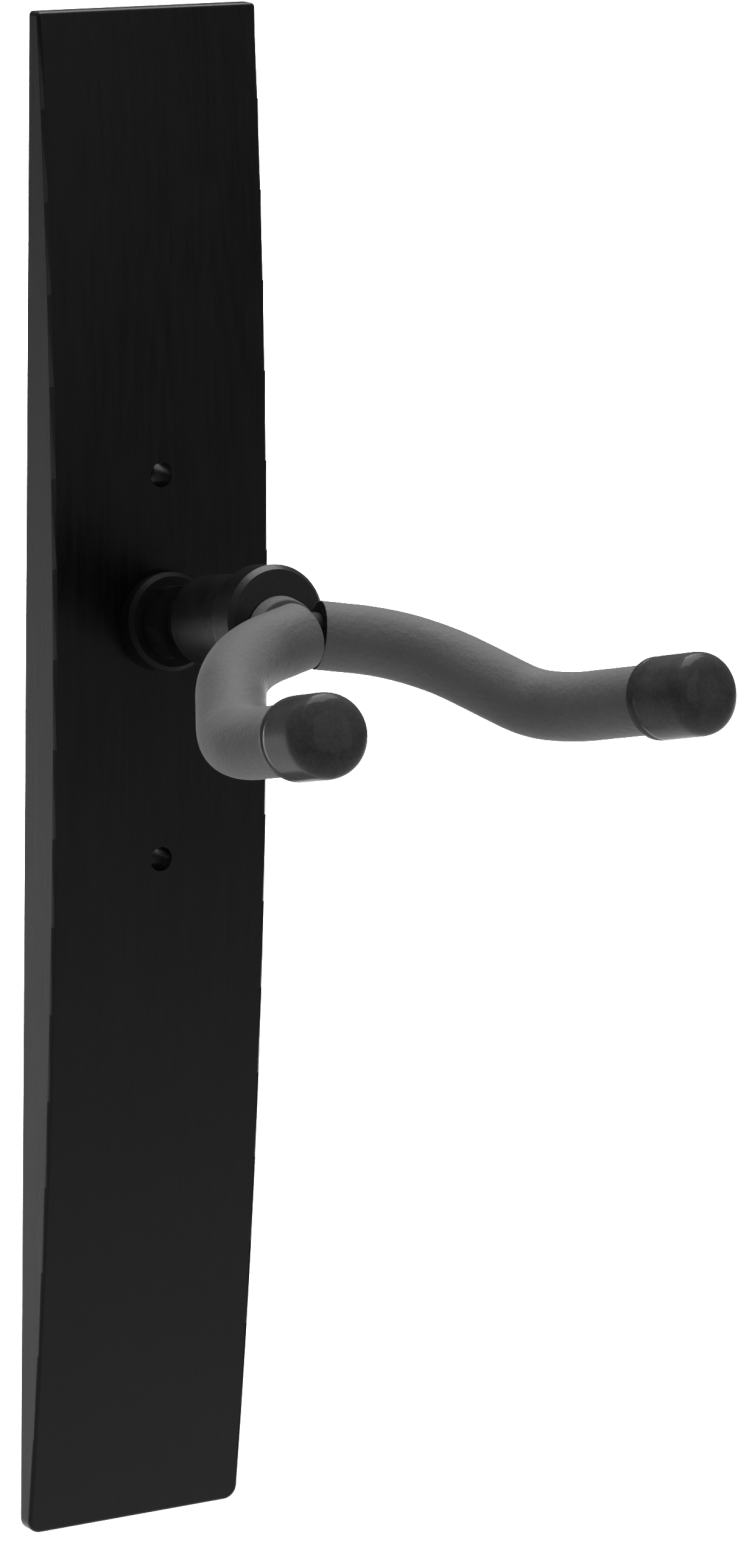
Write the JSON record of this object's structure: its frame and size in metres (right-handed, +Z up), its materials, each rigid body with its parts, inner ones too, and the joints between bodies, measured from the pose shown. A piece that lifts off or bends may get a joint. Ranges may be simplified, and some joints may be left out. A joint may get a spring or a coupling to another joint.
{
  "type": "wall guitar hanger",
  "caption": "Wall hanger for a guitar: tall bowed plate, short post with a turning barrel, and a dropped two-arm yoke in rubber sleeves with rounded end caps.",
  "frame": {"origin": "middle of the back face, on the wall", "axes": "+Z up along the plate, +Y into the wall, the yoke stands out along -Y, +X to the right seen from the front"},
  "size_m": [0.0892, 0.1301, 0.282],
  "materials": {
    "plate_black": "satin moulded",
    "strap_steel": "black powder coat",
    "zinc_steel": "zinc plated",
    "black_paint": "satin black",
    "bush_nylon": "natural nylon",
    "sleeve_rubber": "matte foamed rubber",
    "cap_rubber": "semi-gloss moulded",
    "pad_foam": "closed-cell foam"
  },
  "bodies": {
    "wall_mount": {"backplate": "plate_black", "mounting_strap": "strap_steel", "cover_screws": "zinc_steel", "stud_socket": "strap_steel", "base_collar": "black_paint", "lock_nut": "black_paint", "spring_washer": "black_paint", "swivel_stud": "black_paint", "thrust_washer": "zinc_steel", "wall_pads": "pad_foam"},
    "yoke": {"swivel_barrel": "black_paint", "yoke_boot": "sleeve_rubber", "swivel_bush": "bush_nylon", "thrust_pad": "bush_nylon", "retaining_ring": "zinc_steel", "yoke_rod": "black_paint", "left_sleeve": "sleeve_rubber", "right_sleeve": "sleeve_rubber", "left_end_cap": "cap_rubber", "right_end_cap": "cap_rubber"}
  },
  "joints": [
    {"name": "yoke_swivel", "type": "hinge", "parent": "wall_mount", "child": "yoke", "pos_m": [0, -0.01043, 0.0307], "axis": [0, -0.9848, 0.1736], "continuous": true}
  ]
}
